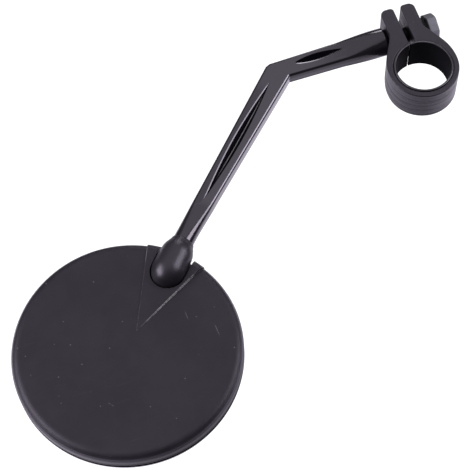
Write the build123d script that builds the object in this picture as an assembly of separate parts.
from build123d import *
import os
from math import cos, sin, tan, radians, sqrt, pi

# Bar-mounted bicycle mirror: clamp, bent arm, ball joint and round head.
# Origin at the centre of the handlebar bore, +Z along the bar (the back of the head
# faces +Z, the glass -Z), +X along the clamp bolt towards its hex head, clamp ears
# towards +Y.  The arm leaves towards -X and bends down towards -Y.
# Lengths in mm, angles in degrees.

# --- main layout -----------------------------------------------------------
BOLT_Y = 20.9           # height of the clamp bolt above the bore centre
EAR_OUT = 7.3           # outside face of each clamp ear
BEND_X = -54.5          # where the two straight runs of the arm cross
ARM_ANGLE = 44.9        # lower run against the bolt axis
LOWER_LEN = 98.4        # bend to ball centre, along the arm
CAP_TILT = 2.33         # the joint cap leans this far off the lower run
TILT_AT = 16.0          # and starts to lean this far before the ball centre
BALL_D = 34.12          # ball centre to head centre
HEAD_SWING = 0.63       # the head rests turned this far about the ball


def direction(angle):
    return Vector(cos(radians(angle)), sin(radians(angle)), 0)


BEND = Vector(BEND_X, BOLT_Y, 0)
LOWER_DIR = direction(ARM_ANGLE)                # along the lower run, towards the bend
INWARD = Vector(LOWER_DIR.Y, -LOWER_DIR.X, 0)   # across it, to the inside of the bend
JOINT_DIR = direction(ARM_ANGLE + CAP_TILT)
HEAD_DIR = direction(ARM_ANGLE + HEAD_SWING)
BALL = BEND - LOWER_DIR * (LOWER_LEN - TILT_AT) - JOINT_DIR * TILT_AT

# Local frames.  BOLT: Z towards the hex head.  JOINT: Z from the ball towards the bend,
# X along the bar.  HEAD: centred on the head, X towards the ball.
BAR = Plane.XY
BOLT = Plane(origin=(0, BOLT_Y, 0), x_dir=(0, 0, 1), z_dir=(1, 0, 0))
JOINT = Plane(origin=BALL, x_dir=(0, 0, 1), z_dir=JOINT_DIR)
HEAD = Plane(origin=BALL - HEAD_DIR * BALL_D, x_dir=HEAD_DIR, z_dir=(0, 0, 1))

# --- shared helpers --------------------------------------------------------
FROM_BASE = (Align.CENTER, Align.CENTER, Align.MIN)
TOL = 0.01              # tolerance for picking edges by position


def put(shape, frame):
    return frame.location * shape


def rod(radius, z0, z1):
    return Pos(0, 0, z0) * Cylinder(radius, z1 - z0, align=FROM_BASE)


def ring(r_out, r_in, z0, z1):
    return rod(r_out, z0, z1) - rod(r_in, z0 - 1, z1 + 1)


def polygon(*points):
    return make_face(Polyline(*points, close=True))


def in_xz(points):
    """(r, z) points as points of the XZ plane."""
    return [(r, 0, z) for r, z in points]


def lines(*points):
    """Chain of straight edges through (r, z) points."""
    placed = in_xz(points)
    return [Line(start, end) for start, end in zip(placed, placed[1:])]


def arc(*points):
    return ThreePointArc(*in_xz(points))


def revolved(*points):
    """Closed profile of (r, z) points turned about Z."""
    return revolve(polygon(*in_xz(points)), axis=Axis.Z)


def revolved_edges(edges):
    return revolve(make_face(Wire(edges)), axis=Axis.Z)


def edges_at(shape, z):
    return [e for e in shape.edges() if abs(e.center().Z - z) < TOL]


def edges_both(shape, half):
    """Edges centred at z = +half or -half."""
    return [e for e in shape.edges() if abs(abs(e.center().Z) - half) < TOL]


def save(shape, name):
    solids = sorted(shape.solids(), key=lambda s: -s.volume)
    part = solids[0] if len(solids) == 1 else Compound(children=solids)
    part.label = name
    export_step(part, f"parts/{name}.step")


# ===========================================================================
# Clamp, in the bar frame
# ===========================================================================
BAR_R = 11.1            # 22.2 mm handlebar
LINER_WALL = 0.97
LINER_HALF = 7.85       # half length of the liner, proud of the band
LINER_RIB_R = 12.60
LINER_RIB_HALF = 2.0
LINER_SLIT = (-1.75, -1.15)     # x range
RIB_PLAY = 0.05
BAND_BORE_R = 12.1
BAND_R = 14.35
BAND_HALF = 7.5         # half width of the band
EAR_GAP = 3.0
EAR_ROOT = 20.4         # the ears run straight from here
EAR_END = 30.6
EAR_CORNER = 2.6
# (x, y) down the right flank of the band, from its widest point to the ear
BAND_SIDE = [(BAND_R, 0), (13.95, 4.3), (12.8, 8.1), (10.7, 12.2), (8.45, 16.2),
             (EAR_OUT, EAR_ROOT)]
BOLT_R = 3.0


def clamp_band():
    corner_y = EAR_END - EAR_CORNER
    corner_x = EAR_OUT - EAR_CORNER
    outline = make_face(Wire([
        Spline(*BAND_SIDE, tangents=[(0, 1), (0, 1)]),
        Line((EAR_OUT, EAR_ROOT), (EAR_OUT, corner_y)),
        RadiusArc((EAR_OUT, corner_y), (corner_x, EAR_END), -EAR_CORNER),
        Line((corner_x, EAR_END), (-corner_x, EAR_END)),
        RadiusArc((-corner_x, EAR_END), (-EAR_OUT, corner_y), -EAR_CORNER),
        Line((-EAR_OUT, corner_y), (-EAR_OUT, EAR_ROOT)),
        Spline(*[(-x, y) for x, y in reversed(BAND_SIDE)], tangents=[(0, -1), (0, -1)]),
        ThreePointArc((-BAND_R, 0), (0, -BAND_R), (BAND_R, 0))]))
    band = Pos(0, 0, -BAND_HALF) * extrude(outline, BAND_HALF * 2)
    band -= Pos(0, 25, 0) * Box(EAR_GAP, 50, 40)
    # inner corners of the ear tips
    tips = [e for e in band.edges() if abs(abs(e.center().X) - EAR_GAP / 2) < TOL
            and e.center().Y > EAR_END - 0.1 and e.length > 10]
    band = fillet(tips, 1.5)
    band -= rod(BAND_BORE_R, -20, 20)
    rims = edges_both(band, BAND_HALF)
    # the rounding can fail where rim edges meet at shallow angles; a bevel stands in
    try:
        band = fillet(rims, 0.35)
    except Exception:
        band = chamfer(rims, 0.2)
    rib_half = LINER_RIB_HALF + RIB_PLAY
    band -= rod(LINER_RIB_R + RIB_PLAY, -rib_half, rib_half)
    band -= put(rod(BOLT_R + 0.3, -20, 20), BOLT)
    # spot faces: the washer seats on one ear, the arm turns against the other
    band -= put(rod(5.9, EAR_OUT, 30), BOLT)
    band -= put(rod(6.2, -30, -EAR_OUT), BOLT)
    return band


def bar_liner():
    """Split rubber liner with a locating rib, eased at both rims."""
    liner = ring(BAR_R + LINER_WALL, BAR_R, -LINER_HALF, LINER_HALF)
    liner += ring(LINER_RIB_R, BAR_R + 0.2, -LINER_RIB_HALF, LINER_RIB_HALF)
    liner = fillet([e for e in edges_both(liner, LINER_HALF) if e.radius > BAR_R + 0.5], 0.55)
    liner = fillet([e for e in edges_both(liner, LINER_HALF) if abs(e.radius - BAR_R) < TOL], 0.25)
    slit = Box(LINER_SLIT[1] - LINER_SLIT[0], 20, 40)
    liner -= Pos(sum(LINER_SLIT) / 2, 15, 0) * slit
    return liner


# ===========================================================================
# Bolt and washers, in the bolt frame
# ===========================================================================
HEX_AF = 10.0           # across flats
HEX_T = 4.5
WASHER_R = 5.3
WASHER_TOP = EAR_OUT + 1.1
HEX_BASE = WASHER_TOP + 1.1     # on top of the spring washer
HEX_TOP = HEX_BASE + HEX_T
SWIVEL_T = 1.0
BOLT_END = -19.0


def bolt_washer():
    washer = ring(WASHER_R, BOLT_R + 0.2, EAR_OUT, WASHER_TOP)
    rims = [e for e in washer.edges()
            if e.geom_type == GeomType.CIRCLE and abs(e.radius - WASHER_R) < TOL]
    return chamfer(rims, 0.25)


def spring_washer():
    spring = ring(4.95, BOLT_R + 0.15, WASHER_TOP, HEX_BASE)
    middle = Pos(0, 4, (WASHER_TOP + HEX_BASE) / 2)
    spring -= middle * Rot(28, 0, 0) * Box(4, 6, 0.8)
    spring -= middle * Box(0.9, 6, 4)
    return spring


def clamp_bolt():
    hexagon = RegularPolygon(HEX_AF / 2, 6, major_radius=False, rotation=-7)
    head = Pos(0, 0, HEX_BASE) * extrude(hexagon, HEX_T)
    # bevels the outer corners of the head
    head = head & revolved((0, HEX_BASE), (7.5, HEX_BASE), (7.5, HEX_TOP - 1.1),
                           (5.4, HEX_TOP), (0, HEX_TOP))
    bolt = head + rod(BOLT_R, BOLT_END, HEX_BASE + 0.5)
    bolt = chamfer(edges_at(bolt, BOLT_END), 0.6)
    # shallow dish in the head
    bolt -= Pos(0, 0, HEX_TOP - 0.35) * Cone(2.6, 3.1, 0.4, align=FROM_BASE)
    return bolt


def swivel_washer():
    return ring(4.7, BOLT_R + 0.2, -EAR_OUT - SWIVEL_T, -EAR_OUT)


# ===========================================================================
# Arm, in the bar frame; its joint end and pin hole use the joint frame
# ===========================================================================
ARM_END_X = -8.35
ARM_END_D = 11.4
ARM_T = 6.3             # thickness of the flat runs
ARM_EDGE = 1.35         # rounding along the flat runs
UP_FLAT = -28.0         # x where the flat part ends on the upper run
LOW_FLAT = 62.0         # distance from the bend where it ends on the lower run
LOFT_LAP = 0.02         # overlap of each loft with the flat part
OUTER_CUT = 1.1         # outer corner of the bend is cut back this far
SPIGOT_R = 4.0
SPIGOT = 6.6            # the arm stops this far from the ball centre
INSERT_R = 4.1
INSERT_END = -17.0      # on the bolt axis
PIN_R = 1.0
PIN_FRAME = Plane(origin=(0, 0, 10.9), x_dir=(0, 0, 1), z_dir=(-0.12, 1, 0))

# Sections beyond the flat part: position, width, thickness, corner radius
UPPER_SECTIONS = [(-21.5, 10.1, 7.9, 2.2), (-15.0, 11.1, 10.4, 4.3),
                  (ARM_END_X, ARM_END_D, ARM_END_D, 5.5)]
LOWER_SECTIONS = [(71.0, 7.95, 6.9, 2.0), (79.0, 7.95, 7.7, 3.2)]
# Grooves on both faces: tips, width, depth, bevel slope, bevel height, skew
GROOVES = [
    (Vector(-59.2, 16.9, 0), Vector(-101.5, -25.7, 0), 3.5, 2.0, 30.0, 0.26, 1.0),
    (Vector(-47.5, 21.65, 0), Vector(-26.2, 21.65, 0), 3.2, 1.9, 19.0, 0.17, 0.85)]


def section(origin, along, width, thickness, corner):
    """Rounded rectangle across the arm, whose run points along the given direction."""
    plane = Plane(origin=origin, x_dir=(along.Y, -along.X, 0), z_dir=along * -1)
    return plane * RectangleRounded(width, thickness, corner)


def upper_section(x, *size):
    return section((x, BOLT_Y, 0), Vector(1, 0, 0), *size)


def lower_section(distance, *size):
    return section(BEND - LOWER_DIR * distance, LOWER_DIR, *size)


def upper_width(x):
    return 8.5 + (x - BEND_X) * 0.032


def lower_width(distance):
    return 10.95 - distance * 0.046


def upper_edge(x, side):
    """Point on the edge of the upper run; side +1 is outside the bend, -1 inside."""
    return Vector(x, BOLT_Y + side * upper_width(x) / 2, 0)


def lower_edge(distance, side):
    """Point on the edge of the lower run; side +1 is inside the bend, -1 outside."""
    return BEND - LOWER_DIR * distance + INWARD * (side * lower_width(distance) / 2)


def crossing(p, p_dir, q, q_dir):
    """Where the line through p meets the line through q."""
    det = q_dir.X * p_dir.Y - p_dir.X * q_dir.Y
    return p + p_dir * ((q_dir.X * (q.Y - p.Y) - q_dir.Y * (q.X - p.X)) / det)


def bend_corner(low_side):
    """Where the edges of the two runs meet on one side of the bend."""
    low = lower_edge(0, low_side)
    up = upper_edge(-30, -low_side)
    return crossing(low, low - lower_edge(60, low_side),
                    up, upper_edge(-60, -low_side) - up)


def flat_runs():
    outer = bend_corner(-1)
    points = [
        upper_edge(UP_FLAT, 1),
        outer + (upper_edge(-30, 1) - outer).normalized() * OUTER_CUT,
        outer + (lower_edge(60, -1) - outer).normalized() * OUTER_CUT,
        lower_edge(LOW_FLAT, -1), lower_edge(LOW_FLAT, 1),
        bend_corner(1), upper_edge(UP_FLAT, -1)]
    flat = extrude(polygon(*[(p.X, p.Y) for p in points]), ARM_T / 2, both=True)
    # the long edges are rounded; the two ends carry the rounding into the lofts
    rims = []
    for edge in edges_both(flat, ARM_T / 2):
        middle = edge.center()
        distance = (BEND - middle).dot(LOWER_DIR)
        if abs(middle.X - UP_FLAT) >= 0.05 and abs(distance - LOW_FLAT) >= 0.2:
            rims.append(edge)
    return fillet(rims, ARM_EDGE)


def lens_groove(start, end, width, depth, slope, bevel, skew, sign):
    """Slender groove between two tips, in the +Z (sign 1) or -Z (sign -1) face.

    One rim has a bevel of the given slope and height, the other is sharp.  The steep
    walls meet in a narrow flat bottom, which rises out of the face at the tips.
    """
    length = (end - start).length
    over = 0.5              # the cutter stands this far proud of the face
    lift = 0.10             # rise of the bottom above the face at the tips
    half_bottom = 0.13
    bevel_run = 1 / tan(radians(slope))
    wall_run = (width / 2 - half_bottom) / depth
    sections = []
    for k in (0.0, 0.08, 0.22, 0.5, 0.78, 0.92, 1.0):
        deep = (depth + lift) * max(sin(pi * k ** skew), 0.0) - lift
        bevel_z = -min(bevel, 0.5 * deep) if deep > 0 else -deep + 0.03
        bevel_y = -half_bottom - (bevel_z + deep) * wall_run
        profile = [(bevel_y - (over - bevel_z) * bevel_run, over),
                   (half_bottom + (over + deep) * wall_run, over),
                   (half_bottom, -deep), (-half_bottom, -deep), (bevel_y, bevel_z)]
        sections.append(polygon(*[(k * length, y, sign * (ARM_T / 2 + z)) for y, z in profile]))
    frame = Plane(origin=start, x_dir=(end - start).normalized(), z_dir=(0, 0, 1))
    return put(loft(sections), frame)


def pin_hole():
    return PIN_FRAME.location * Cylinder(PIN_R + 0.02, 30)


def arm():
    upper = loft([upper_section(UP_FLAT - LOFT_LAP, upper_width(UP_FLAT), ARM_T, ARM_EDGE)]
                 + [upper_section(*row) for row in UPPER_SECTIONS])
    lower = loft([lower_section(LOW_FLAT - LOFT_LAP, lower_width(LOW_FLAT), ARM_T, ARM_EDGE)]
                 + [lower_section(*row) for row in LOWER_SECTIONS]
                 + [section(BALL + JOINT_DIR * 13.85, JOINT_DIR, 8.3, 8.3, 4.05)])
    body = flat_runs() + upper + lower + put(rod(SPIGOT_R, SPIGOT, 14.6), JOINT)
    # rounded rim where the arm meets the swivel washer
    rim = [e for e in body.edges()
           if abs(e.center().X - ARM_END_X) < 0.02 and e.bounding_box().size.X < 0.05]
    # the rounding can fail on the nearly round end, which then stays sharp
    try:
        body = fillet(rim, 0.7)
    except Exception:
        pass
    for sign in (1, -1):
        for groove in GROOVES:
            body -= lens_groove(*groove, sign)
    # socket for the threaded insert, clearance for the bolt end
    body -= put(rod(INSERT_R + 0.02, INSERT_END - 0.05, 0), BOLT)
    body -= put(rod(3.3, -20.5, -10), BOLT)
    body -= put(pin_hole(), JOINT)
    return body


def arm_insert():
    """Sleeve around the bolt, with three grooves around its outside."""
    insert = ring(INSERT_R, BOLT_R + 0.05, INSERT_END, -8.85)
    for z in (-10.6, -13.0, -15.4):
        insert -= ring(6, 3.85, z - 0.45, z + 0.45)
    return insert


# ===========================================================================
# Ball joint, in the joint frame
# ===========================================================================
BALL_R = 4.0
SEAT_IN = 4.05
SEAT_R = 5.0
CAP_IN = 5.05
CAP_R = 6.55
CAP_END = 13.7
CAP_END_R = 4.45
CAP_BORE_R = SPIGOT_R + 0.03
# (r, z) from the crown over the barrel and shoulder to the open end
CAP_PROFILE = [
    (0, -CAP_R), (CAP_R * sin(radians(45)), -CAP_R * cos(radians(45))), (CAP_R, 0),
    (CAP_R - 0.05, 4.5), (CAP_R - 0.2, 8.2), (5.75, 10.5), (5.0, 12.1), (CAP_END_R, CAP_END)]


def neck_opening(radius, half_angle):
    """Cone towards the glass side, room for the neck of the stud to roll and tilt."""
    length = 9
    cone = Cone(radius, radius + length * tan(radians(half_angle)), length, align=FROM_BASE)
    return Rot(0, -90 - 5.0, 0) * cone


def joint_cap():
    outside = Spline(*in_xz(CAP_PROFILE), tangents=[(1, 0, 0), (-0.35, 0, 1)])
    cap = revolved_edges([outside] + lines((CAP_END_R, CAP_END), (0, CAP_END), (0, -CAP_R)))
    cap -= Sphere(CAP_IN) + rod(CAP_IN, 0, SPIGOT - 0.02)
    cap -= rod(CAP_BORE_R, 5, 20)
    cap -= neck_opening(2.35, 17.5)
    cap -= pin_hole()
    # small key on the shoulder, trimmed flush with the bore
    cap += Pos(4.75, 0.9, 11.9) * Rot(0, 12, 0) * Box(1.3, 1.1, 2.2)
    cap -= rod(CAP_BORE_R, 9, 20)
    return cap


def cap_pin():
    pin = PIN_FRAME.location * Cylinder(PIN_R, 10.6)
    return chamfer(pin.edges(), 0.15)


def friction_spring():
    """Coned steel disc between the arm and the seat."""
    return revolved((2.6, 5.95), (4.85, 4.50), (4.85, 5.05), (2.6, 6.50))


def ball_seat():
    """Nylon seat around the ball, with four slots in its open end."""
    seat_end = 4.40
    seat = Sphere(SEAT_R) + rod(SEAT_R, 0, seat_end)
    seat -= Pos(0, 0, seat_end + 10) * Box(30, 30, 20)
    seat -= Sphere(SEAT_IN)
    seat -= rod(3.2, 0, 10)
    seat -= neck_opening(2.05, 12.2)
    for k in range(4):
        seat -= Rot(0, 0, 45 + 90 * k) * Pos(4.6, 0, 3.6) * Box(3.4, 0.6, 2.4)
    return seat


# ===========================================================================
# Stud and its fixing, in the head frame: ball centre at (BALL_D, 0, 0)
# ===========================================================================
AT_BALL = Pos(BALL_D, 0, 0)
NECK_R = 1.9
FLANGE_TOP = -6.75
FLANGE_LOW = -7.60      # counterbore in the pocket floor
FLANGE_R = 3.3
SHANK_R = 2.5
UNDER = FLANGE_LOW - 1.25       # underside of the pocket floor
STUD_END = UNDER - 0.05
SCREW_TOP = UNDER - 0.45        # underside of the stud washer
SCREW_LOW = SCREW_TOP - 1.3
SCREW_R = 1.25


def ball_stud():
    stud = Sphere(BALL_R)
    stud += rod(NECK_R, FLANGE_TOP - 0.2, -3.0)
    stud += rod(FLANGE_R, FLANGE_LOW, FLANGE_TOP)
    stud += rod(SHANK_R, STUD_END, FLANGE_LOW)
    stud -= rod(SCREW_R + 0.02, UNDER - 1, -4.2)
    return AT_BALL * stud


def stud_washer():
    return AT_BALL * ring(4.2, 1.6, SCREW_TOP, STUD_END)


def stud_screw():
    screw = rod(2.9, SCREW_LOW, SCREW_TOP) + rod(SCREW_R, SCREW_TOP - 0.2, -4.6)
    screw = fillet(edges_at(screw, SCREW_LOW), 0.5)
    # cross recess
    screw -= Pos(0, 0, SCREW_LOW) * (Box(3.0, 0.7, 1.4) + Box(0.7, 3.0, 1.4))
    return AT_BALL * screw


# ===========================================================================
# Back shell, in the head frame
# ===========================================================================
HEAD_R = 43.9
BACK_Z = -1.0           # flat back of the shell
EDGE_R = 3.5
SHELL_T = 1.8
SHELL_IN_R = HEAD_R - SHELL_T
SHELL_IN_Z = BACK_Z - SHELL_T
SHELL_LOW = -8.2        # parting line
V_APEX = 7.4            # x of the start of the raised wedge
V_AXIS_Y = -0.27
V_SIDE = (20.6, 17.5)   # angle of the +Y and -Y side of the wedge against its axis
V_STEP = 0.14           # height of the wedge at its apex
V_RISE = 1.25           # and further rise up to the rim
POCKET_R = 7.05
POCKET_Z = -6.9
POCKET_WALL = 1.5
RIB_LOW = -9.60


def rounded_disc(radius, top, edge, low):
    """Disc with a rounded top rim."""
    inset = edge * (1 - cos(radians(45)))
    return revolved_edges(
        lines((0, top), (radius - edge, top))
        + [arc((radius - edge, top), (radius - inset, top - inset), (radius, top - edge))]
        + lines((radius, top - edge), (radius, low), (0, low), (0, top)))


def raised_wedge():
    """V-shaped block from its apex to the rim, its top sloping up towards the rim."""
    x_end = 60.0
    run = x_end - V_APEX
    outline = polygon((V_APEX, V_AXIS_Y), (x_end, V_AXIS_Y + run * tan(radians(V_SIDE[0]))),
                      (x_end, V_AXIS_Y - run * tan(radians(V_SIDE[1]))))
    prism = Pos(0, 0, SHELL_LOW) * extrude(outline, 10 - SHELL_LOW)
    lift = V_RISE + V_STEP
    wedge = (Pos(0, 0, lift) * rounded_disc(HEAD_R, BACK_Z, EDGE_R, SHELL_LOW - lift)) & prism
    slope = V_RISE / (HEAD_R - V_APEX)
    top = [(x, BACK_Z + V_STEP + (x - V_APEX) * slope) for x in (-60, 80)]
    return wedge & extrude(Plane.XZ * polygon(*top, (80, -40), (-60, -40)), 60, both=True)


def turned(shape):
    """Lines a pocket shape up with the joint cap, about the ball centre."""
    return AT_BALL * Rot(0, 0, CAP_TILT - HEAD_SWING) * Pos(-BALL_D, 0, 0) * shape


def u_shape(radius, x_end, z0, z1, flare=0.0):
    """Block with a round end about the ball, running out to x_end."""
    angle = radians(flare)
    y_end = radius / cos(angle) + (x_end - BALL_D) * tan(angle)
    outline = polygon((BALL_D, -radius), (x_end, -y_end), (x_end, y_end), (BALL_D, radius))
    height = z1 - z0
    block = extrude(outline, height) + AT_BALL * Cylinder(radius, height, align=FROM_BASE)
    return Pos(0, 0, z0) * block


def back_shell():
    envelope = rounded_disc(HEAD_R, BACK_Z, EDGE_R, SHELL_LOW)
    hollow = rounded_disc(SHELL_IN_R, SHELL_IN_Z, EDGE_R - SHELL_T, -20)
    shell = envelope - hollow
    shell += raised_wedge() - hollow
    # walls and floor around the pocket, then out to the rim
    wall_r = POCKET_R + POCKET_WALL
    shell += turned(u_shape(wall_r, 45.0, UNDER, BACK_Z - 0.5)) & rod(40.9, -20, 0)
    shell += turned(u_shape(wall_r, 50.0, SHELL_LOW, BACK_Z - 0.5)) & envelope
    # stiffening ribs behind the glass: an open ring and five spokes
    shell += ring(20.4, 19.2, RIB_LOW, SHELL_IN_Z + 0.1) - (Pos(30, 0, -5) * Box(30, 24, 30))
    spoke = Pos(28.2, 0, (RIB_LOW + SHELL_IN_Z) / 2) * Box(16.5, 1.2, SHELL_IN_Z - RIB_LOW)
    for angle in (60, 120, 180, 240, 300):
        shell += Rot(0, 0, angle) * spoke
    # pocket of the ball joint, its floor ramping down towards the rim
    pocket = u_shape(POCKET_R, 60.0, POCKET_Z, 8.0, flare=1.5)
    ramp_x = BALL_D + 2.5
    ramp_top = POCKET_Z + 0.1
    ramp = polygon((ramp_x, ramp_top), (60, ramp_top), (60, POCKET_Z - (60 - ramp_x) * 0.16))
    pocket += extrude(Plane.XZ * ramp, POCKET_R, both=True)
    shell -= turned(pocket)
    shell -= AT_BALL * rod(FLANGE_R + 0.1, FLANGE_LOW, 0)
    shell -= AT_BALL * rod(SHANK_R + 0.05, -20, 0)
    # pry notch in the parting line, opposite the arm
    shell -= Pos(-HEAD_R, 0, SHELL_LOW) * Box(1.6, 5.0, 1.0)
    return shell


# ===========================================================================
# Glass, foam, seal and bezel, in the head frame
# ===========================================================================
GLASS_R = 41.0
GLASS_T = 1.8
GLASS_CURVE = 600.0     # radius of the convex front of the glass
GLASS_BACK_CURVE = GLASS_CURVE - GLASS_T
CURVE_CENTRE = -11.9 - GLASS_T + GLASS_CURVE    # the back crowns at z = -11.9
SEAL_R = (38.9, 40.9)
LIP_Z = -13.10          # underside of the seal
BEZEL_LIP = LIP_Z - 0.02
BEZEL_R = GLASS_R + 0.1         # inside of the bezel wall
SKIRT_R = SHELL_IN_R - 0.08
SKIRT_TOP = -6.2
SEAM_Z = SHELL_LOW - 0.25
RECESS_R = HEAD_R - 0.9         # recess along the parting line
RECESS_Z = SHELL_LOW - 0.85
SHOULDER_Z = -9.7
FRONT_Z = -14.3


def curve_ball(radius):
    return Pos(0, 0, CURVE_CENTRE) * Sphere(radius)


def mirror_glass():
    glass = rod(GLASS_R, -16, -9) & curve_ball(GLASS_CURVE)
    glass -= curve_ball(GLASS_BACK_CURVE)
    return glass


def foam_pad():
    """Pad between ribs and glass, cut out around the stud fixing."""
    foam = rod(38.0, -13, RIB_LOW - 0.03) & curve_ball(GLASS_BACK_CURVE - 0.03)
    foam -= AT_BALL * rod(5.4, -20, 0)
    foam -= Pos(BALL_D + 6, 0, -11) * Box(12, 10.8, 10)
    return foam


def glass_seal():
    top = [(r, CURVE_CENTRE - sqrt(GLASS_CURVE ** 2 - r * r) - 0.02) for r in SEAL_R]
    return revolved(*top, (SEAL_R[1], LIP_Z), (SEAL_R[0], LIP_Z))


def bezel_ring():
    front_r = HEAD_R - 3.5
    bezel = revolved_edges(
        lines((RECESS_R, SEAM_Z), (RECESS_R, RECESS_Z), (HEAD_R - 0.15, RECESS_Z),
              (HEAD_R, RECESS_Z - 0.15), (HEAD_R, SHOULDER_Z))
        + [arc((HEAD_R, SHOULDER_Z), (HEAD_R - 1.05, -12.55), (front_r, FRONT_Z))]
        + lines((front_r, FRONT_Z), (39.3, FRONT_Z), (38.6, LIP_Z - 0.45), (38.6, BEZEL_LIP),
                (BEZEL_R, BEZEL_LIP), (BEZEL_R, SKIRT_TOP), (SKIRT_R, SKIRT_TOP),
                (SKIRT_R, SEAM_Z), (RECESS_R, SEAM_Z)))
    # the snap skirt is open where the pocket reaches the rim
    gap_z = -5.0
    gap = Pos(40, 0, gap_z) * Box(20, 36, (gap_z - SEAM_Z) * 2)
    bezel -= gap & rod(SHELL_IN_R, SEAM_Z, 0)
    return bezel


# Pieces by the frame they are drawn in; each file is named after its function
PIECES = [
    (BAR, [clamp_band, bar_liner, arm]),
    (BOLT, [bolt_washer, spring_washer, clamp_bolt, swivel_washer, arm_insert]),
    (JOINT, [joint_cap, cap_pin, friction_spring, ball_seat]),
    (HEAD, [ball_stud, stud_washer, stud_screw, back_shell, mirror_glass, foam_pad,
            glass_seal, bezel_ring])]

os.makedirs("parts", exist_ok=True)
for frame, builders in PIECES:
    for build in builders:
        save(put(build(), frame), build.__name__)
